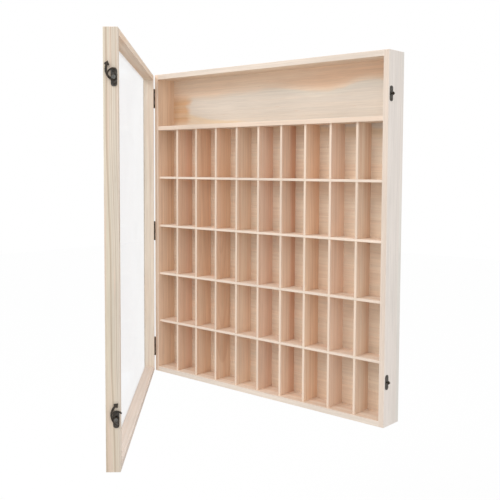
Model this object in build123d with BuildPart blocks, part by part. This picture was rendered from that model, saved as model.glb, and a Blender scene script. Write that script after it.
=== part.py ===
from build123d import *
from math import acos, atan2, cos, degrees, hypot, radians, sin, tan
import os

os.makedirs("parts", exist_ok=True)

# Wall display case of fifty small compartments under one wide tray, with a deep
# framed glazed door on three butt hinges, shut by two swing hooks.
# Millimetres, +Z up, -Y out of the wall towards the viewer, +X to the viewer's right.
# The origin is midway between the two hanging eyes, in the plane of the wall.

# Case
case_width = 540
case_height = 600
case_depth = 46
board_thickness = 9.5
tray_height = 93
shelf_thickness = 8
column_count = 10
row_count = 5
slat_thickness = 4.3
slat_setback = 4.3
lap_clearance = 0.05
edge_round = 0.6
slat_round = 0.5

# Back panel, let into a rabbet all round
panel_thickness = 2
rabbet_width = 4
panel_clearance = 0.2
panel_nails_per_side = 5
panel_nail_radius = 0.6
panel_nail_length = 11
panel_nail_head_radius = 1.2
panel_nail_head_height = 0.4

# Hanging plates, cranked so that a screw head fits behind the eye
plate_gauge = 1.2
plate_width = 16
plate_stand_off = 2.6
plate_corner = 6
flange_height = 6.5
flange_below_top = 0.5
eye_radius = 3.25
eye_spacing = 400
eye_below_top = 25
eye_to_plate_end = 8
hanger_screw_spacing = 9
hanger_screw_radius = 1.1
hanger_screw_length = 12
hanger_head_radius = 2.1
hanger_head_height = 1.2

# Door
door_open_angle = 46.8
door_gap = 0.6
door_thickness = 20
door_member_width = 9.5
door_top_clearance = 1.2
door_bottom_clearance = 0.2
pane_thickness = 2
pane_rebate_width = 3
pane_edge_clearance = 0.3

# Butt hinges, with their leaves on the outer faces and the barrel beside the seam
lower_hinge_up = 50
upper_hinge_down = 47
middle_hinge_below_middle = 13
hinge_length = 38
leaf_reach = 9.5
leaf_thickness = 0.8
leaf_corner = 0.8
knuckle_count = 5
knuckle_gap = 0.15
knuckle_clear = 0.35
pin_radius = 1
pin_fixed_clearance = 0.02
pin_running_clearance = 0.06
pin_head_radius = 1.5
pin_head_height = 0.5
hinge_screw_spacing = 24
hinge_screw_radius = 1
hinge_screw_head_radius = 1.8
hinge_screw_length = 7
screw_slot_width = 0.5
screw_slot_depth = 0.35

# Swing hooks and their catches
lower_catch_up = 73
upper_catch_down = 68
latch_rise = 1
plate_thickness = 0.8
latch_plate_width = 8.4
catch_plate_width = 8.7
latch_plate_height = 24
plate_end_flat = 1.4
latch_edge_margin = 1.3
catch_edge_margin = 3.4
plate_nail_spacing = 18
plate_nail_radius = 0.6
plate_nail_length = 9
plate_nail_head_radius = 1.2
plate_nail_head_height = 0.45
pillar_radius = 2.6
pillar_height = 0.75
pivot_radius = 1.2
pivot_clearance = 0.05
pivot_tail = 6
pivot_head_radius = 4
pivot_head_height = 2
pivot_head_round = 1.8
hook_thickness = 1.4
hook_float = 0.08
hook_boss_radius = 2.9
hook_arc_radius = 16
hook_arc_centre = (10.1, 6.2)
hook_arc_start = 216
hook_arc_end = 133
hook_arm_width = 3
hook_finger_width = 2
hook_finger_centre = (1.5, 3)
hook_finger_start = 140
hook_finger_end = 44
hook_point_length = 6.4
hook_point_shoulder = 1.6
hook_point_half_width = 3.8
upper_hook_angle = 30
lower_hook_angle = 2.5
knob_neck_radius = 1.1
knob_neck_length = 2.6
knob_head_radius = 2.8
knob_rim_height = 0.6
knob_point_height = 2.6
knob_tip_radius = 0.3
knob_clearance = 0.3

# Fasteners sit in holes this much larger all round, and this much deeper
fastener_clearance = 0.02
hole_end_clearance = 0.3

# Raised heads narrow to this share of their radius at the top
head_crown = 0.6

# Places that follow from the sizes above
case_top = eye_below_top
case_bottom = case_top - case_height
case_rear = -(plate_gauge + plate_stand_off)
case_front = case_rear - case_depth
case_middle_y = case_rear - case_depth / 2
case_middle_z = case_top - case_height / 2
inner_width = case_width - 2 * board_thickness
panel_front = case_rear - panel_thickness
shelf_top = case_top - board_thickness - tray_height
shelf_bottom = shelf_top - shelf_thickness
grid_bottom = case_bottom + board_thickness
grid_height = shelf_bottom - grid_bottom
row_pitch = (grid_height + slat_thickness) / row_count
column_pitch = (inner_width + slat_thickness) / column_count
slat_front = case_front + slat_setback
slat_depth = panel_front - slat_front
slat_middle_y = (panel_front + slat_front) / 2
row_heights = [grid_bottom + n * row_pitch - slat_thickness / 2 for n in range(1, row_count)]
column_places = [
    n * column_pitch - slat_thickness / 2 - inner_width / 2 for n in range(1, column_count)
]

knuckle_radius = pin_radius + pin_running_clearance + leaf_thickness
hinge_offset = knuckle_radius + knuckle_clear
leaf_start = knuckle_radius + knuckle_clear
leaf_end = leaf_start + leaf_reach
hinge_x = -case_width / 2 - hinge_offset
hinge_y = case_front - door_gap / 2
door_bottom = case_bottom + door_bottom_clearance
door_height = case_height - door_top_clearance - door_bottom_clearance
door_middle_z = door_bottom + door_height / 2
door_inner_y = -door_gap / 2
door_middle_y = door_inner_y - door_thickness / 2
door_outer_y = door_inner_y - door_thickness
latch_face_x = hinge_offset + case_width
hook_level = plate_thickness + pillar_height + hook_float

# The door's own frame: its origin is on the hinge axis, x runs from the hinges to
# the hooks, and y points into the case when the door is shut.
across = (cos(radians(door_open_angle)), -sin(radians(door_open_angle)), 0)
door_frame = Plane(origin=(hinge_x, hinge_y, 0), x_dir=across, z_dir=(0, 0, 1))
case_hinge_frame = Plane(origin=(hinge_x, hinge_y, 0))

lower_end = (Align.CENTER, Align.CENTER, Align.MIN)
upper_end = (Align.CENTER, Align.CENTER, Align.MAX)


def facing(x, y, z, normal, x_dir=(1, 0, 0)):
    # A place on a surface, with the surface's outward normal
    return Plane(origin=(x, y, z), x_dir=x_dir, z_dir=normal)


def on_door(plane):
    # A plane given in the door's frame, placed where the door stands open
    return Plane(door_frame.location * plane.location)


def finish(piece, label):
    piece.part.label = label
    export_step(piece.part, f"parts/{label}.step")


def headed_fasteners(frame, places, radius, length, head_radius, head_height):
    # Nails, or screws with a raised head: each a shank under a slightly domed head
    with BuildPart(frame) as group:
        with Locations(*places):
            Cylinder(radius, length, align=upper_end)
            Cone(head_radius, head_radius * head_crown, head_height, align=lower_end)
    return group


def countersunk_screws(frame, places):
    # Slotted screws whose heads finish level with the hinge leaf
    with BuildPart(frame) as group:
        with Locations(*places):
            Cylinder(hinge_screw_radius, hinge_screw_length, align=upper_end)
            Cone(
                hinge_screw_radius,
                hinge_screw_head_radius,
                hinge_screw_head_radius - hinge_screw_radius,
                align=upper_end,
            )
            Box(
                hinge_screw_head_radius * 2,
                screw_slot_width,
                screw_slot_depth,
                align=upper_end,
                mode=Mode.SUBTRACT,
            )
    return group


def bore_for_nails(places, radius, length):
    with Locations(*places):
        Hole(radius + fastener_clearance, depth=length + hole_end_clearance)


def bore_for_screws(places):
    with Locations(*places):
        CounterSinkHole(
            hinge_screw_radius + fastener_clearance,
            hinge_screw_head_radius + fastener_clearance,
            depth=hinge_screw_length + hole_end_clearance,
            counter_sink_angle=90,
        )


# Places of the back panel's nails, on the middle line of the rabbet
def spread(first, last, count):
    return [first + (last - first) * (n + 0.5) / count for n in range(count)]


nail_x = inner_width / 2 + rabbet_width / 2
nail_top = case_top - board_thickness + rabbet_width / 2
nail_bottom = case_bottom + board_thickness - rabbet_width / 2
side_nail_heights = spread(case_bottom, case_top, panel_nails_per_side)
# Along the top and bottom they keep clear of the hanging plates
eye_x = eye_spacing / 2
corner_nail_x = (eye_x + inner_width / 2) / 2
end_nail_places = (-corner_nail_x, -eye_x / 2, 0, eye_x / 2, corner_nail_x)
left_panel_nails = [facing(-nail_x, case_rear, z, (0, 1, 0)) for z in side_nail_heights]
right_panel_nails = [facing(nail_x, case_rear, z, (0, 1, 0)) for z in side_nail_heights]
top_panel_nails = [facing(x, case_rear, nail_top, (0, 1, 0)) for x in end_nail_places]
bottom_panel_nails = [facing(x, case_rear, nail_bottom, (0, 1, 0)) for x in end_nail_places]
panel_nails = left_panel_nails + right_panel_nails + top_panel_nails + bottom_panel_nails

# Places of the hinge screws: two to a leaf, on its middle line, through the outer face
hinge_middles = [
    case_bottom + lower_hinge_up,
    case_middle_z - middle_hinge_below_middle,
    case_top - upper_hinge_down,
]
hinge_screw_heights = [
    middle + side * hinge_screw_spacing / 2 for middle in hinge_middles for side in (-1, 1)
]
leaf_middle = (leaf_start + leaf_end) / 2
leaf_face = hinge_offset - leaf_thickness
case_hinge_screws = [
    facing(leaf_face, leaf_middle, z, (-1, 0, 0), x_dir=(0, 1, 0)) for z in hinge_screw_heights
]
door_hinge_screws = [
    facing(leaf_face, -leaf_middle, z, (-1, 0, 0), x_dir=(0, 1, 0)) for z in hinge_screw_heights
]

# Places of the catches on the case's right wall and of the latches on the door's free edge
catch_heights = [case_bottom + lower_catch_up, case_top - upper_catch_down]
catch_y = case_front + catch_edge_margin + catch_plate_width / 2
latch_y = door_inner_y - latch_edge_margin - latch_plate_width / 2
# How far the knob lies behind the pivot when the door is shut, and its distance from it
knob_behind_pivot = catch_y - case_front + door_gap / 2 - latch_y
pivot_to_knob = hypot(knob_behind_pivot, latch_rise)
catch_places = [
    facing(case_width / 2, catch_y, z, (1, 0, 0), x_dir=(0, 1, 0)) for z in catch_heights
]
latch_places = [
    facing(latch_face_x, latch_y, z + latch_rise, (1, 0, 0), x_dir=(0, 1, 0))
    for z in catch_heights
]


def nails_of(places):
    # Two nails to a plate, above and below its middle, driven from the plate's face
    return [
        place.offset(plate_thickness).shift_origin(
            place.from_local_coords((0, side * plate_nail_spacing / 2, plate_thickness))
        )
        for place in places
        for side in (-1, 1)
    ]


catch_nails = nails_of(catch_places)
latch_nails = nails_of(latch_places)

# Places of the hanging plates' screws, midway up the wood above the rabbet
hanger_screw_z = case_top - (board_thickness - rabbet_width) / 2
hanger_screws = [
    facing(
        side * eye_x + step * hanger_screw_spacing / 2,
        case_rear + plate_gauge,
        hanger_screw_z,
        (0, 1, 0),
    )
    for side in (-1, 1)
    for step in (-1, 1)
]


def panel_pocket():
    # The rabbet that the back panel sits in
    with Locations((0, case_rear, case_middle_z)):
        Box(
            inner_width + 2 * rabbet_width,
            2 * panel_thickness,
            case_height - 2 * board_thickness + 2 * rabbet_width,
            mode=Mode.SUBTRACT,
        )


# Case walls
def side_wall(side):
    with BuildPart() as wall:
        with Locations((side * (case_width - board_thickness) / 2, case_middle_y, case_middle_z)):
            Box(board_thickness, case_depth, case_height)
        inner_face = wall.faces().sort_by(Axis.X)[-1 if side < 0 else 0]
        fillet(wall.edges() - inner_face.edges(), edge_round)
        panel_pocket()
        if side < 0:
            bore_for_nails(left_panel_nails, panel_nail_radius, panel_nail_length)
            with Locations(case_hinge_frame):
                bore_for_screws(case_hinge_screws)
        else:
            bore_for_nails(right_panel_nails, panel_nail_radius, panel_nail_length)
            bore_for_nails(catch_nails, plate_nail_radius, plate_nail_length)
            bore_for_nails(catch_places, pivot_radius, pivot_tail)
    return wall


finish(side_wall(-1), "side_wall_left")
finish(side_wall(1), "side_wall_right")

with BuildPart() as top_board:
    with Locations((0, case_middle_y, case_top - board_thickness / 2)):
        Box(inner_width, case_depth, board_thickness)
    fillet(top_board.edges().filter_by(Axis.X).group_by(Axis.Z)[-1], edge_round)
    panel_pocket()
    bore_for_nails(top_panel_nails, panel_nail_radius, panel_nail_length)
    bore_for_nails(hanger_screws, hanger_screw_radius, hanger_screw_length)
finish(top_board, "top_board")

with BuildPart() as bottom_board:
    with Locations((0, case_middle_y, case_bottom + board_thickness / 2)):
        Box(inner_width, case_depth, board_thickness)
    fillet(bottom_board.edges().filter_by(Axis.X).group_by(Axis.Z)[0], edge_round)
    panel_pocket()
    bore_for_nails(bottom_panel_nails, panel_nail_radius, panel_nail_length)
finish(bottom_board, "bottom_board")

with BuildPart() as back_panel:
    with Locations((0, case_rear - panel_thickness / 2, case_middle_z)):
        Box(
            inner_width + 2 * (rabbet_width - panel_clearance),
            panel_thickness,
            case_height - 2 * board_thickness + 2 * (rabbet_width - panel_clearance),
        )
    bore_for_nails(panel_nails, panel_nail_radius, panel_thickness)
finish(back_panel, "back_panel")

back_panel_nails = headed_fasteners(
    Plane.XY,
    panel_nails,
    panel_nail_radius,
    panel_nail_length,
    panel_nail_head_radius,
    panel_nail_head_height,
)
finish(back_panel_nails, "back_panel_nails")

# Shelf under the tray, and the grid of slats halved into each other
with BuildPart() as upper_shelf:
    with Locations((0, (case_front + panel_front) / 2, (shelf_top + shelf_bottom) / 2)):
        Box(inner_width, panel_front - case_front, shelf_thickness)
    fillet(upper_shelf.edges().filter_by(Axis.X).group_by(Axis.Y)[0], edge_round)
finish(upper_shelf, "upper_shelf")

slot_width = slat_thickness + 2 * lap_clearance

for number, height in enumerate(row_heights, start=1):
    with BuildPart() as row_shelf:
        with Locations((0, slat_middle_y, height)):
            Box(inner_width, slat_depth, slat_thickness)
        fillet(row_shelf.edges().filter_by(Axis.X).group_by(Axis.Y)[0], slat_round)
        with Locations(*[(x, slat_middle_y + slat_depth / 4, height) for x in column_places]):
            Box(slot_width, slat_depth / 2, slat_thickness, mode=Mode.SUBTRACT)
    finish(row_shelf, f"row_shelf_{number}")

for number, place in enumerate(column_places, start=1):
    with BuildPart() as column_divider:
        with Locations((place, slat_middle_y, grid_bottom + grid_height / 2)):
            Box(slat_thickness, slat_depth, grid_height)
        fillet(column_divider.edges().filter_by(Axis.Z).group_by(Axis.Y)[0], slat_round)
        with Locations(*[(place, slat_middle_y - slat_depth / 4, z) for z in row_heights]):
            Box(slat_thickness, slat_depth / 2, slot_width, mode=Mode.SUBTRACT)
    finish(column_divider, f"column_divider_{number}")


# Hanging plates on the rear edge of the top board
def hanging_plate(side):
    bend = plate_gauge * tan(radians(22.5))
    flange_top = case_top - flange_below_top
    flange_end = flange_top - flange_height
    middle = side * eye_x
    with BuildPart() as plate:
        with BuildSketch(Plane.YZ.offset(middle)):
            with BuildLine():
                Polyline(
                    (case_rear, flange_top),
                    (case_rear, flange_end),
                    (case_rear + plate_stand_off, flange_end - plate_stand_off),
                    (case_rear + plate_stand_off, -eye_to_plate_end),
                    (0, -eye_to_plate_end),
                    (0, flange_end - plate_stand_off + bend),
                    (case_rear + plate_gauge, flange_end + bend),
                    (case_rear + plate_gauge, flange_top),
                    close=True,
                )
            make_face()
        extrude(amount=plate_width / 2, both=True)
        fillet(plate.edges().filter_by(Axis.Y).group_by(Axis.Z)[0], plate_corner)
        with Locations(facing(middle, 0, 0, (0, 1, 0))):
            Hole(eye_radius, depth=plate_gauge)
        bore_for_nails(
            [place for place in hanger_screws if abs(place.origin.X - middle) < plate_width],
            hanger_screw_radius,
            hanger_screw_length,
        )
    return plate


finish(hanging_plate(-1), "hanging_plate_left")
finish(hanging_plate(1), "hanging_plate_right")

hanging_plate_screws = headed_fasteners(
    Plane.XY,
    hanger_screws,
    hanger_screw_radius,
    hanger_screw_length,
    hanger_head_radius,
    hanger_head_height,
)
finish(hanging_plate_screws, "hanging_plate_screws")


# Door frame: two full stiles with two rails between them, rebated outside for the pane
def pane_pocket():
    with Locations(
        (
            hinge_offset + case_width / 2,
            door_outer_y + pane_thickness / 2,
            door_middle_z,
        )
    ):
        Box(
            case_width - 2 * door_member_width + 2 * pane_rebate_width,
            pane_thickness,
            door_height - 2 * door_member_width + 2 * pane_rebate_width,
            mode=Mode.SUBTRACT,
        )


door_axis = Axis((0, 0, 0), across)


def door_stile(side):
    place = hinge_offset + case_width / 2 + side * (case_width - door_member_width) / 2
    with BuildPart(door_frame) as stile:
        with Locations((place, door_middle_y, door_middle_z)):
            Box(door_member_width, door_thickness, door_height)
        inner_face = stile.faces().sort_by(door_axis)[-1 if side < 0 else 0]
        fillet(stile.edges() - inner_face.edges(), edge_round)
        pane_pocket()
        if side < 0:
            bore_for_screws(door_hinge_screws)
        else:
            bore_for_nails(latch_nails, plate_nail_radius, plate_nail_length)
            bore_for_nails(latch_places, pivot_radius, pivot_tail)
    return stile


def door_rail(side):
    place = door_middle_z + side * (door_height - door_member_width) / 2
    with BuildPart(door_frame) as rail:
        with Locations((hinge_offset + case_width / 2, door_middle_y, place)):
            Box(case_width - 2 * door_member_width, door_thickness, door_member_width)
        outer_edges = rail.edges().filter_by(door_axis).group_by(Axis.Z)[-1 if side > 0 else 0]
        fillet(outer_edges, edge_round)
        pane_pocket()
    return rail


finish(door_stile(-1), "door_stile_hinge")
finish(door_stile(1), "door_stile_latch")
finish(door_rail(1), "door_rail_top")
finish(door_rail(-1), "door_rail_bottom")

# The pane stands on the bottom of its rebate, flush with the door's outer face
with BuildPart(door_frame) as door_pane:
    with Locations(
        (
            hinge_offset + case_width / 2,
            door_outer_y + pane_thickness / 2,
            door_middle_z - pane_edge_clearance / 2,
        )
    ):
        Box(
            case_width - 2 * door_member_width + 2 * (pane_rebate_width - pane_edge_clearance),
            pane_thickness,
            door_height - 2 * door_member_width + 2 * pane_rebate_width - pane_edge_clearance,
        )
finish(door_pane, "door_pane")


# Butt hinges: five knuckles, three on the case leaf and two on the door leaf
def hinge_leaf(frame, middle, side, knuckles, clearance, screws):
    pitch = hinge_length / knuckle_count
    leaf_x = hinge_offset - leaf_thickness / 2
    own_screws = [place for place in screws if abs(place.origin.Z - middle) < hinge_length / 2]
    with BuildPart(frame) as leaf:
        with Locations((leaf_x, side * leaf_middle, middle)):
            Box(leaf_thickness, leaf_reach, hinge_length)
        fillet(leaf.edges().filter_by(Axis(frame.origin, frame.x_dir)), leaf_corner)
        for knuckle in knuckles:
            height = middle + (knuckle - (knuckle_count - 1) / 2) * pitch
            with Locations((0, 0, height)):
                Cylinder(knuckle_radius, pitch - knuckle_gap)
            with Locations((leaf_x, side * leaf_middle / 2, height)):
                Box(leaf_thickness, leaf_middle, pitch - knuckle_gap)
        with Locations((0, 0, middle + hinge_length / 2)):
            Hole(pin_radius + clearance, depth=hinge_length)
        bore_for_screws(own_screws)
    return leaf


case_knuckles = range(0, knuckle_count, 2)
door_knuckles = range(1, knuckle_count, 2)

for name, middle in zip(("lower", "middle", "upper"), hinge_middles):
    case_leaf = hinge_leaf(
        case_hinge_frame, middle, 1, case_knuckles, pin_fixed_clearance, case_hinge_screws
    )
    finish(case_leaf, f"hinge_case_leaf_{name}")
    door_leaf = hinge_leaf(
        door_frame, middle, -1, door_knuckles, pin_running_clearance, door_hinge_screws
    )
    finish(door_leaf, f"hinge_door_leaf_{name}")
    with BuildPart(case_hinge_frame) as hinge_pin:
        with Locations((0, 0, middle + hinge_length / 2)):
            Cylinder(pin_radius, hinge_length, align=upper_end)
            Cone(pin_head_radius, pin_head_radius * head_crown, pin_head_height, align=lower_end)
    finish(hinge_pin, f"hinge_pin_{name}")

finish(countersunk_screws(case_hinge_frame, case_hinge_screws), "hinge_case_screws")
finish(countersunk_screws(door_frame, door_hinge_screws), "hinge_door_screws")


# Catch plates with their pointed knobs, and latch plates with their pivots
def nailed_plate(plane, width, with_pillar):
    with BuildPart() as plate:
        with BuildSketch(plane):
            RectangleRounded(width, latch_plate_height, (width - plate_end_flat) / 2)
        extrude(amount=plate_thickness)
        if with_pillar:
            with BuildSketch(plane.offset(plate_thickness)):
                Circle(pillar_radius)
            extrude(amount=pillar_height)
        with Locations(plane.offset(hook_level)):
            Hole(pivot_radius + fastener_clearance, depth=2 * hook_level)
        bore_for_nails(nails_of([plane]), plate_nail_radius, plate_nail_length)
    return plate


for name, place in zip(("lower", "upper"), catch_places):
    finish(nailed_plate(place, catch_plate_width, False), f"catch_plate_{name}")
    with BuildPart() as catch_knob:
        with Locations(place):
            Cylinder(pivot_radius, pivot_tail, align=upper_end)
            Cylinder(pivot_radius, plate_thickness, align=lower_end)
        with Locations(place.offset(plate_thickness)):
            Cylinder(knob_neck_radius, knob_neck_length, align=lower_end)
        with Locations(place.offset(plate_thickness + knob_neck_length)):
            Cylinder(knob_head_radius, knob_rim_height, align=lower_end)
        with Locations(place.offset(plate_thickness + knob_neck_length + knob_rim_height)):
            Cone(knob_head_radius, knob_tip_radius, knob_point_height, align=lower_end)
    finish(catch_knob, f"catch_knob_{name}")

finish(
    headed_fasteners(
        Plane.XY,
        catch_nails,
        plate_nail_radius,
        plate_nail_length,
        plate_nail_head_radius,
        plate_nail_head_height,
    ),
    "catch_plate_nails",
)

for name, place in zip(("lower", "upper"), latch_places):
    finish(nailed_plate(on_door(place), latch_plate_width, True), f"latch_plate_{name}")
    with BuildPart(door_frame) as latch_pivot:
        with Locations(place):
            Cylinder(pivot_radius, pivot_tail, align=upper_end)
            Cylinder(pivot_radius, hook_level + hook_thickness + hook_float, align=lower_end)
        with Locations(place.offset(hook_level + hook_thickness + hook_float)):
            Cylinder(pivot_head_radius, pivot_head_height, align=lower_end)
        fillet(latch_pivot.faces().sort_by(door_axis)[-1].edges(), pivot_head_round)
    finish(latch_pivot, f"latch_pivot_{name}")

finish(
    headed_fasteners(
        door_frame,
        latch_nails,
        plate_nail_radius,
        plate_nail_length,
        plate_nail_head_radius,
        plate_nail_head_height,
    ),
    "latch_plate_nails",
)


# Swing hooks: a bowed arm ending in a point, with a finger that passes inside the knob,
# so that the knob's neck ends up in the pocket between the two. At its farthest from the
# pivot the finger still clears the neck, and the arm meets it last.
finger_reach = pivot_to_knob - knob_neck_radius - knob_clearance - hook_finger_width / 2
finger_radius = finger_reach - hypot(*hook_finger_centre)
hook_arm = CenterArc(
    hook_arc_centre, hook_arc_radius, hook_arc_start, hook_arc_end - hook_arc_start
)
hook_finger = CenterArc(
    hook_finger_centre, finger_radius, hook_finger_start, hook_finger_end - hook_finger_start
)
# The shut angle brings the arm's inner edge to the knob's neck, by the law of cosines
arc_centre_distance = hypot(*hook_arc_centre)
pocket_radius = hook_arc_radius - hook_arm_width / 2 - knob_neck_radius - knob_clearance
pocket_cosine = (pivot_to_knob**2 + arc_centre_distance**2 - pocket_radius**2) / (
    2 * pivot_to_knob * arc_centre_distance
)
arc_centre_angle = atan2(hook_arc_centre[1], hook_arc_centre[0])
pocket_angle = degrees(arc_centre_angle + acos(pocket_cosine))
knob_angle = -degrees(atan2(latch_rise, knob_behind_pivot))
hook_shut_angle = knob_angle - pocket_angle
hook_root = hook_arm @ 0
hook_tip = hook_arm @ 1
hook_along = hook_arm % 1
hook_beside = hook_along.rotate(Axis.Z, 90) * hook_point_half_width


def swing_hook(place, angle):
    turned = place.offset(hook_level).location * Location((0, 0, 0), (0, 0, angle))
    plane = on_door(Plane(turned))
    with BuildPart() as hook:
        with BuildSketch(plane):
            Circle(hook_boss_radius)
            SlotCenterPoint(hook_root / 2, hook_root, hook_arm_width)
            SlotArc(hook_arm, hook_arm_width)
            SlotArc(hook_finger, hook_finger_width)
            with BuildLine():
                Polyline(
                    hook_tip + hook_along * hook_point_length,
                    hook_tip + hook_along * hook_point_shoulder + hook_beside,
                    hook_tip - hook_along,
                    hook_tip + hook_along * hook_point_shoulder - hook_beside,
                    close=True,
                )
            make_face()
        extrude(amount=hook_thickness)
        with Locations(plane.offset(hook_thickness)):
            Hole(pivot_radius + pivot_clearance, depth=2 * hook_thickness)
    return hook


finish(swing_hook(latch_places[0], lower_hook_angle), "latch_hook_lower")
finish(swing_hook(latch_places[1], upper_hook_angle), "latch_hook_upper")

print("hinge axis", hinge_x, hinge_y)
print("hook pivots", [on_door(place).origin for place in latch_places])
print("pivot to knob", pivot_to_knob, "hook shut at", hook_shut_angle)
print("clear compartment", column_pitch - slat_thickness, row_pitch - slat_thickness)
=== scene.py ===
import math

import bpy
from mathutils import Matrix, Vector

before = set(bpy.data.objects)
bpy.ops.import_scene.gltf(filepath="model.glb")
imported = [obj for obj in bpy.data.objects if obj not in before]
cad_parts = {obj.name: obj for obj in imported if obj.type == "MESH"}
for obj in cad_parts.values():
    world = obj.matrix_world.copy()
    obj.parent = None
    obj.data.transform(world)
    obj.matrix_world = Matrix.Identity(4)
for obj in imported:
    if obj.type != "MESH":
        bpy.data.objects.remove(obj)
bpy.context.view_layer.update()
scene = bpy.context.scene
print("frame loaded,", len(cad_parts), "pieces")


# The camera stands to the right in front of the case, looking slightly down

cameraSettings = {
    "place": (0.9095, -1.1105, -0.1617),
    "turnLeft": math.radians(41.07),
    "tiltDown": math.radians(3.776),
    "roll": math.radians(0.258),
    "lens": 56.0,
    "sensor": 36.0,
    "shiftY": -0.0596,
    "nearest": 0.05,
    "farthest": 60,
}


def addCamera(settings):
    data = bpy.data.cameras.new("camera")
    data.lens = settings["lens"]
    data.sensor_width = settings["sensor"]
    data.shift_y = settings["shiftY"]
    data.clip_start = settings["nearest"]
    data.clip_end = settings["farthest"]
    camera = bpy.data.objects.new("camera", data)
    scene.collection.objects.link(camera)
    turn = Matrix.Rotation(settings["turnLeft"], 4, "Z")
    tilt = Matrix.Rotation(math.pi / 2 - settings["tiltDown"], 4, "X")
    roll = Matrix.Rotation(settings["roll"], 4, "Z")
    camera.matrix_world = Matrix.Translation(settings["place"]) @ turn @ tilt @ roll
    scene.camera = camera


addCamera(cameraSettings)
print("camera placed")


# Small helpers for node trees

noiseMiddle = 0.5    # noise runs from 0 to 1, and lies evenly about this


def newMaterial(name):
    material = bpy.data.materials.new(name)
    material.use_nodes = True
    tree = material.node_tree
    return material, tree, tree.nodes["Principled BSDF"]


def add(tree, kind, values=None, **settings):
    node = tree.nodes.new(kind)
    for key, value in settings.items():
        setattr(node, key, value)
    for key, value in (values or {}).items():
        if isinstance(value, bpy.types.NodeSocket):
            tree.links.new(value, node.inputs[key])
        else:
            node.inputs[key].default_value = value
    return node


def calc(tree, operation, first, second=0.0, clamp=False):
    values = {0: first, 1: second}
    return add(tree, "ShaderNodeMath", values, operation=operation, use_clamp=clamp).outputs[0]


def times(tree, first, *others):
    for other in others:
        first = calc(tree, "MULTIPLY", first, other)
    return first


def plus(tree, first, *others):
    for other in others:
        first = calc(tree, "ADD", first, other)
    return first


def dot(tree, first, second):
    values = {0: first, 1: second}
    return add(tree, "ShaderNodeVectorMath", values, operation="DOT_PRODUCT").outputs["Value"]


def fade(tree, value, low, high, toLow=0.0, toHigh=1.0, smooth=True):
    kind = "SMOOTHSTEP" if smooth else "LINEAR"
    values = {"Value": value, "From Min": low, "From Max": high, "To Min": toLow, "To Max": toHigh}
    return add(tree, "ShaderNodeMapRange", values, interpolation_type=kind).outputs["Result"]


def mixColor(tree, share, first, second, blend="MIX"):
    node = add(tree, "ShaderNodeMix", data_type="RGBA", blend_type=blend)
    sockets = node.inputs[0], node.inputs[6], node.inputs[7]    # the share and the two colours
    for socket, value in zip(sockets, (share, first, second)):
        if isinstance(value, bpy.types.NodeSocket):
            tree.links.new(value, socket)
        elif isinstance(value, (int, float)):
            socket.default_value = value
        else:
            socket.default_value = (*value, 1)
    return node.outputs[2]


def shadeColor(tree, color, shade):
    grey = add(tree, "ShaderNodeCombineXYZ", {"X": shade, "Y": shade, "Z": shade}).outputs[0]
    return mixColor(tree, 1.0, color, grey, "MULTIPLY")


def mapping(tree, vector, location=(0, 0, 0), rotation=(0, 0, 0), scale=(1, 1, 1)):
    values = {"Vector": vector, "Location": location, "Rotation": rotation, "Scale": scale}
    return add(tree, "ShaderNodeMapping", values).outputs[0]


def split(tree, vector):
    return add(tree, "ShaderNodeSeparateXYZ", {0: vector}).outputs


def noise(tree, vector, scale, detail=3.0, roughness=0.6, distortion=0.0, stretch=None):
    # Stretch is the scale along the grain, which runs along z, as a share of that across it
    if stretch is not None:
        vector = mapping(tree, vector, scale=(1, 1, stretch))
    values = {"Vector": vector, "Scale": scale, "Detail": detail, "Roughness": roughness}
    values["Distortion"] = distortion
    return add(tree, "ShaderNodeTexNoise", values).outputs["Fac"]


def centred(tree, value):
    return calc(tree, "SUBTRACT", value, noiseMiddle)


# A board's patterns are moved by these amounts for each step of its seed, so no two are alike

seedStep = {
    "space": (0.37, 0.23, 0.61),
    "line": 3.1,
    "lineStart": 7.0,
    "ring": 5.3,
}


def shiftBySeed(tree, vector, seed, step=seedStep["space"]):
    return mapping(tree, vector, location=[amount * seed for amount in step])


def lineNoise(tree, value, scale, seed):
    place = plus(tree, value, seedStep["line"] * seed + seedStep["lineStart"])
    values = {"W": place, "Scale": scale, "Detail": 1.0, "Roughness": 0.5}
    return add(tree, "ShaderNodeTexNoise", values, noise_dimensions="1D").outputs["Fac"]


# Pine: growth rings about a pith that lies outside the board, measured from the board's middle.
# Sizes are in metres and shares run from 0 to 1. A range is a pair of values between which
# something fades in: values of a noise, or of how squarely a face looks some way.

pine = {
    "sap": (0.800, 0.680, 0.560),      # pale outer wood
    "heart": (0.740, 0.540, 0.390),    # warmer wood near the pith
    "late": (0.620, 0.410, 0.260),     # the dark end of each ring
    "streak": (0.720, 0.480, 0.320),
    "patch": (0.800, 0.600, 0.450),
    "front": (0.865, 0.715, 0.600),    # the planed front edges
    "arrisRubAndHighlight": (0.930, 0.820, 0.720),    # rubbed edges, painted lighter also as the highlight that rounded edges catch
    "heartRadius": 0.050,
    "heartBlend": 0.020,
    "heartRagged": 0.02,       # how far streaks push the heart's edge in and out
    "heartShare": 0.5,
    "lateRange": (0.3, 0.6),
    "lateFade": (0.5, 1.0),    # rings are weaker between streaks
    "lateShare": 0.35,
    "streakScale": 95.0,
    "streakRange": (0.48, 0.66),
    "streakShare": 0.40,
    "patchRange": (0.48, 0.68),
    "patchShare": 0.35,
    "frontRange": (-0.5, -0.95),
    "frontShare": 0.7,
    "endRange": (0.7, 0.95),
    "endShade": 0.88,          # end grain's brightness, as a share of the rest's
    "arrisRubAndHighlightShare": 0.55,
    "arrisWidth": 0.0011,
    "ringSpacing": 0.0045,
    "pith": (0.045, 0.030),
    "tilt": (0.0, 0.0),        # how far the pith leans, per metre of length
    "sway": 0.010,             # how far the lines swing along the board
    "wander": 0.0030,
    "fibre": 0.07,
    "roughness": 0.60,
    "bump": 0.16,
}
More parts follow.
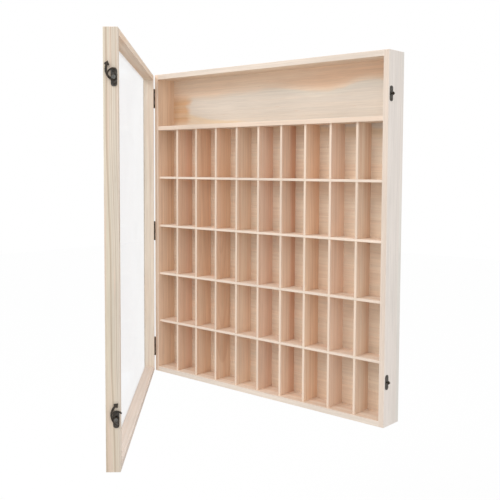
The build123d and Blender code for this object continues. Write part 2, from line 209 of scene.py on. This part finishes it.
rings = {
    "swingScale": 2.5,         # how often the lines swing, per metre
    "unevenScale": 0.22,       # how often the rings' width changes, per ring
    "uneven": 3.5,
    "rise": (0.25, 0.90),      # a ring darkens slowly over this part of its width
    "drop": (0.93, 1.0),       # and ends suddenly
    "strength": (0.25, 1.0),   # of the weakest and the strongest ring
}
woodPatterns = {
    "fibre": dict(scale=900.0, stretch=0.03),
    "flecks": dict(scale=420.0, stretch=0.08, detail=2.0, roughness=0.5),
    "grain": dict(scale=260.0, stretch=0.02),
    "streaks": dict(stretch=0.018),
    "rub": dict(scale=55.0),
    "warp": dict(scale=38.0, stretch=0.10, detail=2.0, roughness=0.5),
    "patches": dict(scale=20.0, stretch=0.18, detail=2.0, roughness=0.55),
    "tone": dict(scale=9.0, stretch=0.4, detail=2.0, roughness=0.5),
}
planed = {
    "fibreRange": (0.75, 1.25),
    "toneRange": (0.35, 0.65),
    "toneShade": (0.95, 1.04),
    "fleckRange": (0.70, 0.80),
    "fleckShare": 0.35,
    "rubCore": 0.3,            # this share of the edge band is rubbed and painted lighter all over
    "rubRange": (0.38, 0.58),
    "rubFade": (0.35, 1.0),
    "rubPolish": 0.14,         # how much smoother a rubbed edge is
    "roughRange": (0.25, 0.75),
    "roughSpread": (-0.07, 0.09),
    "specular": 0.35,
    "lateHeight": 0.5,         # relief of the rings and the grain, against the fibres' own
    "grainHeight": 0.6,
    "bumpDistance": 0.0003,
}
grainTurn = {"Z": (0, 0, 0), "X": (0, -math.pi / 2, 0)}    # turns the grain's own axis to Z


def boardBox(node, turned):
    turn = Matrix.Rotation(turned, 3, "Z")
    points = [turn @ vertex.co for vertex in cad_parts[node].data.vertices]
    low = Vector([min(point[axis] for point in points) for axis in range(3)])
    high = Vector([max(point[axis] for point in points) for axis in range(3)])
    return (low + high) / 2, (high - low) / 2


def arrisDistance(tree, local, half):
    # The middle one of the three distances to the board's faces, which is small only near an edge
    away = []
    for size, value in zip(half, split(tree, local)):
        away.append(calc(tree, "SUBTRACT", size, calc(tree, "ABSOLUTE", value)))
    nearest = calc(tree, "MINIMUM", away[0], away[1])
    other = calc(tree, "MAXIMUM", away[0], away[1])
    return calc(tree, "MAXIMUM", nearest, calc(tree, "MINIMUM", other, away[2]))


def ringRadius(tree, upright, shifted, look, seed):
    x, y, z = split(tree, upright)
    swing = times(tree, centred(tree, lineNoise(tree, z, rings["swingScale"], seed)), look["sway"])
    x = plus(tree, x, times(tree, z, look["tilt"][0]), swing, -look["pith"][0])
    y = plus(tree, y, times(tree, z, look["tilt"][1]), swing, -look["pith"][1])
    radius = calc(tree, "SQRT", plus(tree, times(tree, x, x), times(tree, y, y)))
    warp = centred(tree, noise(tree, shifted, **woodPatterns["warp"]))
    return plus(tree, radius, times(tree, warp, look["wander"]))


def lateWood(tree, distance, spacing, seed):
    # A slow rise to the dark end of each ring and a sudden drop, in rings of unequal width
    # and strength
    uneven = lineNoise(tree, distance, rings["unevenScale"] / spacing, seed)
    uneven = times(tree, uneven, rings["uneven"])
    turns = plus(tree, calc(tree, "DIVIDE", distance, spacing), uneven)
    step = calc(tree, "FRACT", turns)
    rise = fade(tree, step, *rings["rise"])
    late = calc(tree, "SUBTRACT", rise, fade(tree, step, *rings["drop"]), clamp=True)
    index = plus(tree, calc(tree, "FLOOR", turns), seedStep["ring"] * seed)
    chance = add(tree, "ShaderNodeTexWhiteNoise", {"W": index}, noise_dimensions="1D")
    strength = fade(tree, chance.outputs["Value"], 0.0, 1.0, *rings["strength"], smooth=False)
    return times(tree, late, strength)


def finishWood(tree, shader, color, late, shifted, edge, look):
    # Fibres, flecks and rubbed edges over the board's own colour, with its gloss and relief. The
    # edges are painted lighter, partly as rubbing and partly as a painted highlight.
    fibre, grain, tone, flecks = [
        noise(tree, shifted, **woodPatterns[name]) for name in ("fibre", "grain", "tone", "flecks")
    ]
    lines = plus(tree, fibre, grain)
    contrast = 1 - look["fibre"], 1 + look["fibre"]
    shade = fade(tree, lines, *planed["fibreRange"], *contrast, smooth=False)
    shade = times(tree, shade, fade(tree, tone, *planed["toneRange"], *planed["toneShade"]))
    color = shadeColor(tree, color, shade)
    fleck = fade(tree, flecks, *planed["fleckRange"], 0.0, planed["fleckShare"])
    color = mixColor(tree, fleck, color, look["late"])

    # Lighter near every edge: rubbing, and a painted highlight that rounded edges would catch
    core = planed["rubCore"] * look["arrisWidth"]
    rubbed = times(tree, fade(tree, edge, core, look["arrisWidth"], 1.0, 0.0), look["arrisRubAndHighlightShare"])
    uneven = noise(tree, shifted, **woodPatterns["rub"])
    rubbed = times(tree, rubbed, fade(tree, uneven, *planed["rubRange"], *planed["rubFade"]))
    color = mixColor(tree, rubbed, color, look["arrisRubAndHighlight"])
    tree.links.new(color, shader.inputs["Base Color"])

    spread = [look["roughness"] + amount for amount in planed["roughSpread"]]
    rough = fade(tree, fibre, *planed["roughRange"], *spread, smooth=False)
    rough = calc(tree, "SUBTRACT", rough, times(tree, rubbed, planed["rubPolish"]))
    tree.links.new(rough, shader.inputs["Roughness"])
    shader.inputs["Specular IOR Level"].default_value = planed["specular"]
    ringRelief = times(tree, late, planed["lateHeight"])
    height = plus(tree, fibre, ringRelief, times(tree, grain, planed["grainHeight"]))
    values = {"Strength": look["bump"], "Distance": planed["bumpDistance"], "Height": height}
    bump = add(tree, "ShaderNodeBump", values)
    tree.links.new(bump.outputs[0], shader.inputs["Normal"])


def woodMaterial(node, look, grain="Z", seed=0.0, turned=0.0):
    material, tree, shader = newMaterial("pine_" + node)
    middle, half = boardBox(node, turned)
    coords = add(tree, "ShaderNodeTexCoord").outputs
    local = mapping(tree, coords["Object"], location=-middle, rotation=(0, 0, turned))
    normal = split(tree, mapping(tree, coords["Normal"], rotation=(0, 0, turned)))
    upright = mapping(tree, local, rotation=grainTurn[grain])
    shifted = shiftBySeed(tree, upright, seed)

    radius = ringRadius(tree, upright, shifted, look, seed)
    late = lateWood(tree, radius, look["ringSpacing"], seed)
    streaks = noise(tree, shifted, scale=look["streakScale"], **woodPatterns["streaks"])
    patches = noise(tree, shifted, **woodPatterns["patches"])

    ragged = plus(tree, radius, times(tree, centred(tree, streaks), look["heartRagged"]))
    inner = look["heartRadius"] - look["heartBlend"]
    outer = look["heartRadius"] + look["heartBlend"]
    share = times(tree, fade(tree, ragged, outer, inner), look["heartShare"])
    color = mixColor(tree, share, look["sap"], look["heart"])
    share = times(tree, fade(tree, patches, *look["patchRange"]), look["patchShare"])
    color = mixColor(tree, share, color, look["patch"])
    share = times(tree, fade(tree, streaks, *look["streakRange"]), look["streakShare"])
    color = mixColor(tree, share, color, look["streak"])
    weaker = fade(tree, streaks, *look["lateRange"], *look["lateFade"])
    color = mixColor(tree, times(tree, late, weaker, look["lateShare"]), color, look["late"])
    share = times(tree, fade(tree, normal["Y"], *look["frontRange"]), look["frontShare"])
    color = mixColor(tree, share, color, look["front"])
    ends = calc(tree, "ABSOLUTE", normal[grain])
    color = shadeColor(tree, color, fade(tree, ends, *look["endRange"], 1.0, look["endShade"]))
    finishWood(tree, shader, color, late, shifted, arrisDistance(tree, local, half), look)
    return material


def dress(node, material):
    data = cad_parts[node].data
    data.materials.clear()
    data.materials.append(material)


# Case boards

caseBoards = {
    "side_wall_left": ("Z", dict(
        pine, sap=(0.870, 0.670, 0.510), heart=(0.800, 0.575, 0.405), pith=(0.020, 0.060),
        heartRadius=0.06, ringSpacing=0.0055, streakShare=0.5,
    )),
    "side_wall_right": ("Z", dict(
        pine, sap=(0.850, 0.780, 0.720), heart=(0.830, 0.805, 0.745), late=(0.750, 0.650, 0.550),
        streak=(0.850, 0.755, 0.670), patch=(0.860, 0.765, 0.710), front=(0.780, 0.645, 0.535),
        pith=(-0.010, 0.070), heartRadius=0.054, heartBlend=0.004, heartShare=0.9,
        ringSpacing=0.007, lateShare=0.22, streakShare=0.25, frontShare=0.8,
    )),
    "top_board": ("X", dict(
        pine, sap=(0.850, 0.715, 0.585), front=(0.800, 0.705, 0.620), pith=(0.060, 0.020),
    )),
    "bottom_board": ("X", dict(
        pine, sap=(0.940, 0.800, 0.680), front=(0.820, 0.730, 0.640), pith=(-0.050, 0.040),
    )),
    "upper_shelf": ("X", dict(
        pine, front=(0.900, 0.725, 0.590), pith=(0.030, -0.060), lateShare=0.25,
    )),
}
for seed, (node, (grain, look)) in enumerate(caseBoards.items(), 1):
    dress(node, woodMaterial(node, look, grain, seed))


# Slats: each is sawn from a different piece, and most are warmer towards the back of the case

slat = dict(
    pine, sap=(0.905, 0.725, 0.565), heart=(0.810, 0.555, 0.400), late=(0.670, 0.415, 0.270),
    streak=(0.780, 0.520, 0.360), patch=(0.860, 0.620, 0.470), front=(0.910, 0.740, 0.600),
    heartShare=0.75, lateShare=0.45, streakShare=0.6, frontShare=0.9, ringSpacing=0.0062,
    arrisWidth=0.0008, arrisRubAndHighlightShare=0.35,
)
pinkish = dict(
    slat, sap=(0.900, 0.700, 0.560), heart=(0.780, 0.510, 0.385), patch=(0.860, 0.610, 0.480),
)
orange = dict(
    slat, sap=(0.905, 0.710, 0.540), heart=(0.810, 0.540, 0.370), streak=(0.800, 0.520, 0.345),
)
reddish = dict(
    slat, sap=(0.880, 0.690, 0.545), heart=(0.690, 0.400, 0.270), streak=(0.710, 0.420, 0.285),
)
dividers = [    # from the left
    dict(
        pinkish, sap=(0.850, 0.630, 0.480), pith=(0.012, 0.052), heartRadius=0.048,
        heartBlend=0.010,
    ),
    dict(orange, pith=(0.020, 0.030), tilt=(0.05, 0.03), heartRadius=0.045),
    dict(
        orange, pith=(0.016, -0.006), tilt=(0.09, 0.02), heartRadius=0.030, ringSpacing=0.0045,
        patchShare=0.5,
    ),
    dict(slat, pith=(0.030, 0.050), heartRadius=0.040, heartShare=0.4, lateShare=0.25),
    dict(pinkish, pith=(0.010, 0.045), heartRadius=0.040, lateShare=0.3),
    dict(reddish, pith=(0.014, 0.050), heartRadius=0.046, heartBlend=0.006, heartShare=0.95),
    dict(orange, pith=(0.025, 0.056), tilt=(0.0, 0.03), heartRadius=0.058, heartShare=0.9),
    dict(pinkish, pith=(0.035, 0.055), heartShare=0.5, lateShare=0.22, streakShare=0.35),
    dict(
        slat, sap=(0.920, 0.740, 0.590), pith=(0.010, 0.048), heartRadius=0.042, heartBlend=0.008,
        streakShare=0.55,
    ),
]
rowShelf = dict(
    slat, sap=(0.930, 0.790, 0.670), heart=(0.880, 0.680, 0.540), front=(0.930, 0.785, 0.655),
    heartShare=0.4, lateShare=0.25, streakShare=0.35,
)
slatNumbers = {
    "rowShelves": 4,
    "rowShelfPith": (0.050, 0.020),
    "pithStep": 0.012,          # from one row shelf to the next one up
    "dividerSeed": 10,
    "rowShelfSeed": 20,
}
for number, look in enumerate(dividers, 1):
    node = f"column_divider_{number}"
    dress(node, woodMaterial(node, look, "Z", slatNumbers["dividerSeed"] + number))
for number in range(1, slatNumbers["rowShelves"] + 1):
    node = f"row_shelf_{number}"
    side, depth = slatNumbers["rowShelfPith"]
    look = dict(rowShelf, pith=(side, depth + slatNumbers["pithStep"] * number))
    dress(node, woodMaterial(node, look, "X", slatNumbers["rowShelfSeed"] + number))


# Back panel: one sheet of plywood whose face has a pale tongue of grain in the tray

panel = dict(
    pine, sap=(0.865, 0.725, 0.580), tan=(0.875, 0.700, 0.545), orange=(0.865, 0.610, 0.430),
    yellow=(0.800, 0.640, 0.450), amber=(0.720, 0.455, 0.260), cream=(0.757, 0.678, 0.590),
    grey=(0.750, 0.698, 0.617), late=(0.640, 0.420, 0.270), patch=(0.800, 0.570, 0.420),
    ringSpacing=0.009, lateShare=0.16, streakRange=(0.50, 0.66), streakShare=0.22,
    zoneRange=(0.40, 0.62), frontRange=(0.5, -0.5), shift=(0.37, 0.0, 0.61), seed=31,
)
panelPatterns = {
    "streaks": dict(scale=80.0, stretch=0.025),
    "wobble": dict(scale=60.0, stretch=0.25),
    "zones": dict(scale=26.0, stretch=0.10, detail=2.0, roughness=0.5),
    "lobes": dict(scale=75.0, detail=2.0, roughness=0.5),
}
# Places across and up are in the row frame. Above and below are distances outside the tongue's
# upper and lower line, and negative inside it. Each pair runs from where nothing shows.
tongue = {
    "width": (-0.2605, 0.2605),     # the ends of the lines below, across the panel
    "heights": (-0.100, 0.020),
    "upper": (
        (-0.2605, -0.046), (-0.232, -0.044), (-0.2255, -0.029), (-0.214, -0.020),
        (-0.150, -0.018), (-0.077, -0.013), (0.030, -0.016), (0.091, -0.025), (0.142, -0.025),
        (0.189, -0.014), (0.2605, -0.019),
    ),
    "lower": (
        (-0.2605, -0.028), (-0.232, -0.030), (-0.2255, -0.043), (-0.214, -0.054),
        (-0.157, -0.064), (-0.077, -0.073), (0.2605, -0.096),
    ),
    "ragged": 0.010,                # how ragged its lines are
    "insideUpper": (0.003, -0.012),
    "insideLower": (0.004, -0.004),
    "outside": (-0.002, 0.001),
    "streakRange": (0.45, 0.70),    # faint tan streaks inside it
    "streakShare": 0.25,
}
orangeWood = {
    "above": (0.0, 0.012),
    "across": (-0.10, 0.14),
    "least": 0.25,                  # at the left
    "zones": (0.30, 0.60),
    "zoneFade": (0.5, 1.0),
}
yellowBand = {"below": (0.022, 0.0), "share": 0.8}
greyWave = {                        # a band just inside the upper line
    "lower": (-0.014, -0.006),
    "upper": (0.001, -0.003),
    "across": (-0.05, 0.04),
    "share": 0.7,
}
amberEnd = {
    "across": (-0.208, -0.228),     # the wood turns darker and yellow to the left of these
    "lobes": 0.030,                 # how ragged its edge is
    "lobeShape": (0.3, 1, 1),
    "top": (-0.010, -0.028),
    "foot": (-0.080, -0.060),       # it fades out above the shelf
    "streaks": (0.40, 0.60),
    "streakFade": (0.95, 0.60),
}


def lineHeight(tree, x, line):
    low, high = tongue["width"]
    bottom, top = tongue["heights"]
    share = fade(tree, x, low, high, smooth=False)
    node = add(tree, "ShaderNodeFloatCurve", {"Factor": 1.0, "Value": share})
    points = []
    for across, up in tongue[line]:
        points.append(((across - low) / (high - low), (up - bottom) / (top - bottom)))
    curve = node.mapping.curves[0]
    curve.points[0].location = points[0]
    curve.points[1].location = points[-1]
    for point in points[1:-1]:
        curve.points.new(*point)
    node.mapping.update()
    return fade(tree, node.outputs[0], 0.0, 1.0, bottom, top, smooth=False)


def panelMaterial(node, look):
    material, tree, shader = newMaterial("plywood_" + node)
    seed = look["seed"]
    middle, half = boardBox(node, 0.0)
    coords = add(tree, "ShaderNodeTexCoord").outputs
    place = coords["Object"]
    local = mapping(tree, place, location=-middle)
    upright = mapping(tree, local, rotation=grainTurn["X"])
    shifted = shiftBySeed(tree, upright, seed, look["shift"])
    x, z = split(tree, place)["X"], split(tree, place)["Z"]
    inFront = fade(tree, split(tree, coords["Normal"])["Y"], *look["frontRange"])
    wobble, streaks, zones = [
        noise(tree, shifted, **panelPatterns[name]) for name in ("wobble", "streaks", "zones")
    ]
    wobble = times(tree, centred(tree, wobble), tongue["ragged"])
    above = plus(tree, calc(tree, "SUBTRACT", z, lineHeight(tree, x, "upper")), wobble)
    below = plus(tree, calc(tree, "SUBTRACT", lineHeight(tree, x, "lower"), z), wobble)

    color = mixColor(tree, fade(tree, zones, *look["zoneRange"]), look["sap"], look["tan"])
    across = fade(tree, x, *orangeWood["across"], orangeWood["least"], 1.0)
    warm = times(tree, fade(tree, above, *orangeWood["above"]), across)
    patchy = fade(tree, zones, *orangeWood["zones"], *orangeWood["zoneFade"])
    color = mixColor(tree, times(tree, warm, patchy, inFront), color, look["orange"])
    band = fade(tree, below, *yellowBand["below"])
    band = times(tree, band, fade(tree, below, *tongue["outside"]), inFront, yellowBand["share"])
    color = mixColor(tree, band, color, look["yellow"])
    share = times(tree, fade(tree, streaks, *look["streakRange"]), look["streakShare"])
    color = mixColor(tree, share, color, look["patch"])
    lines = calc(tree, "MAXIMUM", above, below)
    late = lateWood(tree, lines, look["ringSpacing"], seed)
    late = times(tree, late, fade(tree, lines, *tongue["outside"]))
    color = mixColor(tree, times(tree, late, look["lateShare"]), color, look["late"])

    inside = fade(tree, above, *tongue["insideUpper"])
    inside = times(tree, inside, fade(tree, below, *tongue["insideLower"]), inFront)
    color = mixColor(tree, inside, color, look["cream"])
    lobed = mapping(tree, place, scale=amberEnd["lobeShape"])
    lobes = centred(tree, noise(tree, lobed, **panelPatterns["lobes"]))
    edge = plus(tree, x, times(tree, lobes, amberEnd["lobes"]), wobble)
    amber = times(tree, fade(tree, edge, *amberEnd["across"]), inFront)
    amber = times(tree, amber, fade(tree, z, *amberEnd["top"]), fade(tree, z, *amberEnd["foot"]))
    streaky = fade(tree, streaks, *amberEnd["streaks"], *amberEnd["streakFade"])
    color = mixColor(tree, times(tree, amber, streaky), color, look["amber"])
    wave = fade(tree, above, *greyWave["lower"])
    wave = times(tree, wave, fade(tree, above, *greyWave["upper"]), inFront)
    wave = times(tree, wave, fade(tree, x, *greyWave["across"]), greyWave["share"])
    color = mixColor(tree, wave, color, look["grey"])
    faint = fade(tree, streaks, *tongue["streakRange"])
    faint = times(tree, inside, faint, tongue["streakShare"])
    color = mixColor(tree, faint, color, look["tan"])
    finishWood(tree, shader, color, late, shifted, arrisDistance(tree, local, half), look)
    return material


dress("back_panel", panelMaterial("back_panel", panel))


# Door frame. It stands open at rest, so its boards are measured along and across the door.

doorTurn = math.radians(46.8)
doorSeed = 41
doorBoard = dict(
    pine, sap=(0.770, 0.680, 0.560), late=(0.620, 0.480, 0.340), front=(0.780, 0.680, 0.550),
    frontShare=0.4,
)
doorBoards = {
    "door_stile_latch": ("Z", dict(
        doorBoard, sap=(0.755, 0.675, 0.540), heart=(0.750, 0.660, 0.580),
        streak=(0.790, 0.625, 0.510), late=(0.530, 0.410, 0.300), pith=(0.004, 0.110),
        tilt=(0.004, 0.012), heartRadius=0.110, heartBlend=0.006, ringSpacing=0.0040,
        wander=0.0010, lateShare=0.95, streakScale=220.0, streakShare=0.8, patchShare=0.2,
    )),
    "door_stile_hinge": ("Z", dict(
        doorBoard, sap=(0.880, 0.785, 0.665), front=(0.880, 0.780, 0.670),
        streak=(0.810, 0.660, 0.540), pith=(0.070, 0.020), ringSpacing=0.0040, lateShare=0.45,
        streakScale=180.0, streakShare=0.6,
    )),
    "door_rail_top": ("X", dict(
        doorBoard, sap=(0.840, 0.720, 0.590), patch=(0.810, 0.580, 0.400), pith=(0.040, 0.050),
        patchShare=0.8,
    )),
    "door_rail_bottom": ("X", dict(
        doorBoard, sap=(0.790, 0.690, 0.610), streak=(0.800, 0.640, 0.550), pith=(0.050, -0.040),
    )),
}
for seed, (node, (grain, look)) in enumerate(doorBoards.items(), doorSeed):
    dress(node, woodMaterial(node, look, grain, seed, doorTurn))
print("wood done")


# Clear sheet in the door, with a little haze and faint smears

pane = {
    "tint": (0.280, 0.290, 0.380),
    "haze": (0.064, 0.080),
    "hazeRange": (0.5, 0.9),
    "rim": (0.003, 0.008),       # this near the sheet's edge it is painted paler and less clear: painted light over the groove's shade
    "rimPaintedLight": 0.15,
    "rimColor": (0.620, 0.590, 0.560),
    "smear": dict(scale=9.0, detail=4.0, distortion=0.8),
    "smearRange": (0.35, 0.75),
    "roughness": (0.06, 0.16),   # of the clean and the smeared sheet
    "dust": dict(scale=240.0, detail=2.0, roughness=0.5),
    "dustShare": 0.4,
    "refraction": 1.49,
}


def clearMaterial(look):
    material, tree, shader = newMaterial("clear_sheet")
    coords = add(tree, "ShaderNodeTexCoord").outputs["Object"]
    middle, half = boardBox("door_pane", doorTurn)
    local = mapping(tree, coords, location=-middle, rotation=(0, 0, doorTurn))
    rim = fade(tree, arrisDistance(tree, local, half), *reversed(look["rim"]))
    smear = noise(tree, coords, **look["smear"])
    dust = noise(tree, coords, **look["dust"])
    rough = fade(tree, smear, *look["smearRange"], *look["roughness"])
    tree.links.new(rough, shader.inputs["Roughness"])
    haze = plus(tree, smear, times(tree, dust, look["dustShare"]))
    haze = fade(tree, haze, *look["hazeRange"], *look["haze"])
    # Near the edge the sheet is paler and less clear: painted light over the shade of the groove
    # behind it
    alpha = plus(tree, haze, times(tree, rim, look["rimPaintedLight"]))
    tree.links.new(alpha, shader.inputs["Alpha"])
    tree.links.new(mixColor(tree, rim, look["tint"], look["rimColor"]), shader.inputs["Base Color"])
    shader.inputs["IOR"].default_value = look["refraction"]
    return material


dress("door_pane", clearMaterial(pane))


# Dark bronze plating, rubbed to grey along its edges and lighter on its outward faces from wear and
# a painted sheen, and bright zinc at the back

bronze = {
    "dark": (0.020, 0.015, 0.011),
    "brown": (0.056, 0.038, 0.024),
    "rubbed": (0.200, 0.185, 0.160),
    "rubbedShare": 0.30,
    "wornAndSheen": (0.150, 0.148, 0.142),      # handled faces, which point away from the door and the case, lighter from wear and from a painted sheen
    "wornAndSheenShare": 0.55,
    "roughness": 0.38,
    "edge": 0.00035,
    "metallic": 0.75,
}
zinc = {
    "dark": (0.42, 0.43, 0.44),
    "brown": (0.55, 0.56, 0.57),
    "rubbed": (0.74, 0.75, 0.76),
    "rubbedShare": 0.4,
    "wornAndSheen": (0.62, 0.63, 0.64),
    "wornAndSheenShare": 0.3,
    "roughness": 0.34,
    "edge": 0.0003,
    "metallic": 0.9,
}
plating = {
    "blotches": dict(scale=260.0),
    "fine": dict(scale=1900.0),
    "wearAndSheenPatches": dict(scale=330.0),
    "rub": dict(scale=420.0, detail=4.0, roughness=0.65),
    "bevelSamples": 6,
    "edgeRange": (0.995, 0.90),     # how far the rounded edge's face turns from the flat one
    "brownRange": (0.35, 0.65),
    "outwardRange": (0.80, 0.99),
    "wearAndSheenRange": (0.30, 0.62),
    "rubRange": (0.50, 0.72),
    "rubShare": 0.5,                # of the rubbing that isn't at an edge
    "edgeBlotches": (0.35, 0.6),
    "edgeFade": (0.4, 1.0),
    "roughRange": (0.3, 0.7),
    "roughSpread": 0.1,
    "bump": 0.25,
    "bumpDistance": 0.00012,
}


def metalMaterial(title, look, outward):
    material, tree, shader = newMaterial(title)
    coords = add(tree, "ShaderNodeTexCoord").outputs
    names = "blotches", "fine", "wearAndSheenPatches", "rub"
    blotch, fine, wearAndSheenPatches, rub = [noise(tree, coords["Object"], **plating[name]) for name in names]
    bevel = add(tree, "ShaderNodeBevel", {"Radius": look["edge"]}, samples=plating["bevelSamples"])
    rounded = bevel.outputs[0]
    flat = add(tree, "ShaderNodeNewGeometry").outputs["Normal"]
    edge = fade(tree, dot(tree, rounded, flat), *plating["edgeRange"])
    color = mixColor(tree, fade(tree, blotch, *plating["brownRange"]), look["dark"], look["brown"])
    # Faces that point outward are lighter: handling wear and a painted sheen
    wornAndSheen = fade(tree, dot(tree, coords["Normal"], outward), *plating["outwardRange"])
    wornAndSheen = times(tree, wornAndSheen, fade(tree, wearAndSheenPatches, *plating["wearAndSheenRange"]))
    color = mixColor(tree, times(tree, wornAndSheen, look["wornAndSheenShare"]), color, look["wornAndSheen"])
    rub = times(tree, fade(tree, rub, *plating["rubRange"]), plating["rubShare"])
    patchy = fade(tree, blotch, *plating["edgeBlotches"], *plating["edgeFade"])
    rub = calc(tree, "MAXIMUM", rub, times(tree, edge, patchy))
    color = mixColor(tree, times(tree, rub, look["rubbedShare"]), color, look["rubbed"])
    tree.links.new(color, shader.inputs["Base Color"])
    shader.inputs["Metallic"].default_value = look["metallic"]
    spread = look["roughness"] - plating["roughSpread"], look["roughness"] + plating["roughSpread"]
    rough = fade(tree, blotch, *plating["roughRange"], *spread)
    tree.links.new(rough, shader.inputs["Roughness"])
    values = {"Strength": plating["bump"], "Distance": plating["bumpDistance"]}
    bump = add(tree, "ShaderNodeBump", dict(values, Height=fine, Normal=rounded))
    tree.links.new(bump.outputs[0], shader.inputs["Normal"])
    return material


doorOutward = (math.cos(doorTurn), -math.sin(doorTurn), 0)
# The pivot's dome is painted light grey on its outward face: a painted highlight over its wear
dome = dict(bronze, wornAndSheen=(0.200, 0.205, 0.198), wornAndSheenShare=0.8)
metalFinishes = {    # by the first words of the pieces' names
    "hinge": metalMaterial("bronze_hinge", dict(bronze, rubbedShare=0.2), (-1, 0, 0)),
    "catch": metalMaterial("bronze_catch", bronze, (1, 0, 0)),
    "latch_plate": metalMaterial("bronze_latch", bronze, doorOutward),
    "latch_hook": metalMaterial("bronze_hook", dict(bronze, wornAndSheenShare=0.2), doorOutward),
    "latch_pivot": metalMaterial("bronze_dome", dome, doorOutward),
    "hanging_plate": metalMaterial("bright_zinc", zinc, (0, 1, 0)),
}
metalFinishes["back_panel_nails"] = metalFinishes["hanging_plate"]
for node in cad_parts:
    for start, finish in metalFinishes.items():
        if node.startswith(start):
            dress(node, finish)
print("metal and clear sheet done")


# Floor, lamp and background

studio = {
    "floorHeight": -1.02,
    "floorSize": 12.0,
    "floorColor": (0.62, 0.61, 0.60),
    "floorSeen": (0.95, 0.95, 0.95),
    "floorGlow": 0.90,       # how far the floor goes to plain white in the camera's eye
    "floorRoughness": 0.9,
    "floorSpecular": 0.1,
    "skyHigh": 1.10,         # light from the right and above
    "skyLow": 0.79,          # light from the left and below
    "skyLean": (0.60, -0.20, 0.55),     # the light grows in this direction
    "skyRange": (-0.1, 0.8),
    "skyColor": (0.990, 0.995, 1.0),
    "keyPlace": (-0.55, -2.1, 1.6),
    "keyAim": (0.0, 0.0, -0.28),
    "keySize": 1.2,
    "keyPower": 22.8,
    "keyColor": (1.0, 0.98, 0.955),
}
plainWhite = {"Color": (1, 1, 1, 1), "Strength": 1.0}


def seenPlain(tree):
    # 1 for what the camera sees, straight, mirrored or through the clear sheet
    path = add(tree, "ShaderNodeLightPath").outputs
    direct = calc(tree, "MAXIMUM", path["Is Camera Ray"], path["Is Glossy Ray"])
    return calc(tree, "MAXIMUM", direct, path["Is Transmission Ray"])


def addWorld(look):
    world = bpy.data.worlds.new("studio")
    scene.world = world
    world.use_nodes = True
    tree = world.node_tree
    tree.nodes.clear()
    coords = add(tree, "ShaderNodeTexCoord").outputs["Generated"]
    lean = dot(tree, coords, look["skyLean"])
    strength = fade(tree, lean, *look["skyRange"], look["skyLow"], look["skyHigh"], smooth=False)
    values = {"Color": (*look["skyColor"], 1), "Strength": strength}
    light = add(tree, "ShaderNodeBackground", values).outputs[0]
    white = add(tree, "ShaderNodeBackground", plainWhite).outputs[0]
    mix = add(tree, "ShaderNodeMixShader", {0: seenPlain(tree), 1: light, 2: white}).outputs[0]
    output = add(tree, "ShaderNodeOutputWorld", {"Surface": mix})
    output.is_active_output = True


def addFloor(look):
    half = look["floorSize"] / 2
    height = look["floorHeight"]
    mesh = bpy.data.meshes.new("floor")
    square = (-half, -half), (half, -half), (half, half), (-half, half)
    mesh.from_pydata([(x, y, height) for x, y in square], [], [(0, 1, 2, 3)])
    floor = bpy.data.objects.new("floor", mesh)
    scene.collection.objects.link(floor)
    material, tree, shader = newMaterial("pale_floor")
    seen = seenPlain(tree)
    color = mixColor(tree, seen, look["floorColor"], look["floorSeen"])
    tree.links.new(color, shader.inputs["Base Color"])
    shader.inputs["Roughness"].default_value = look["floorRoughness"]
    shader.inputs["Specular IOR Level"].default_value = look["floorSpecular"]
    glow = add(tree, "ShaderNodeEmission", plainWhite).outputs[0]
    share = times(tree, seen, look["floorGlow"])
    mix = add(tree, "ShaderNodeMixShader", {0: share, 1: shader.outputs[0], 2: glow}).outputs[0]
    tree.links.new(mix, tree.nodes["Material Output"].inputs["Surface"])
    mesh.materials.append(material)


def addKeyLamp(look):
    data = bpy.data.lights.new("keyLamp", "AREA")
    data.shape = "DISK"
    data.size = look["keySize"]
    data.energy = look["keyPower"]
    data.color = look["keyColor"]
    lamp = bpy.data.objects.new("keyLamp", data)
    scene.collection.objects.link(lamp)
    lamp.location = look["keyPlace"]
    aim = Vector(look["keyAim"]) - Vector(look["keyPlace"])
    lamp.rotation_euler = aim.to_track_quat("-Z", "Y").to_euler()


addWorld(studio)
addFloor(studio)
addKeyLamp(studio)
scene.view_settings.view_transform = "Standard"
print("studio done")
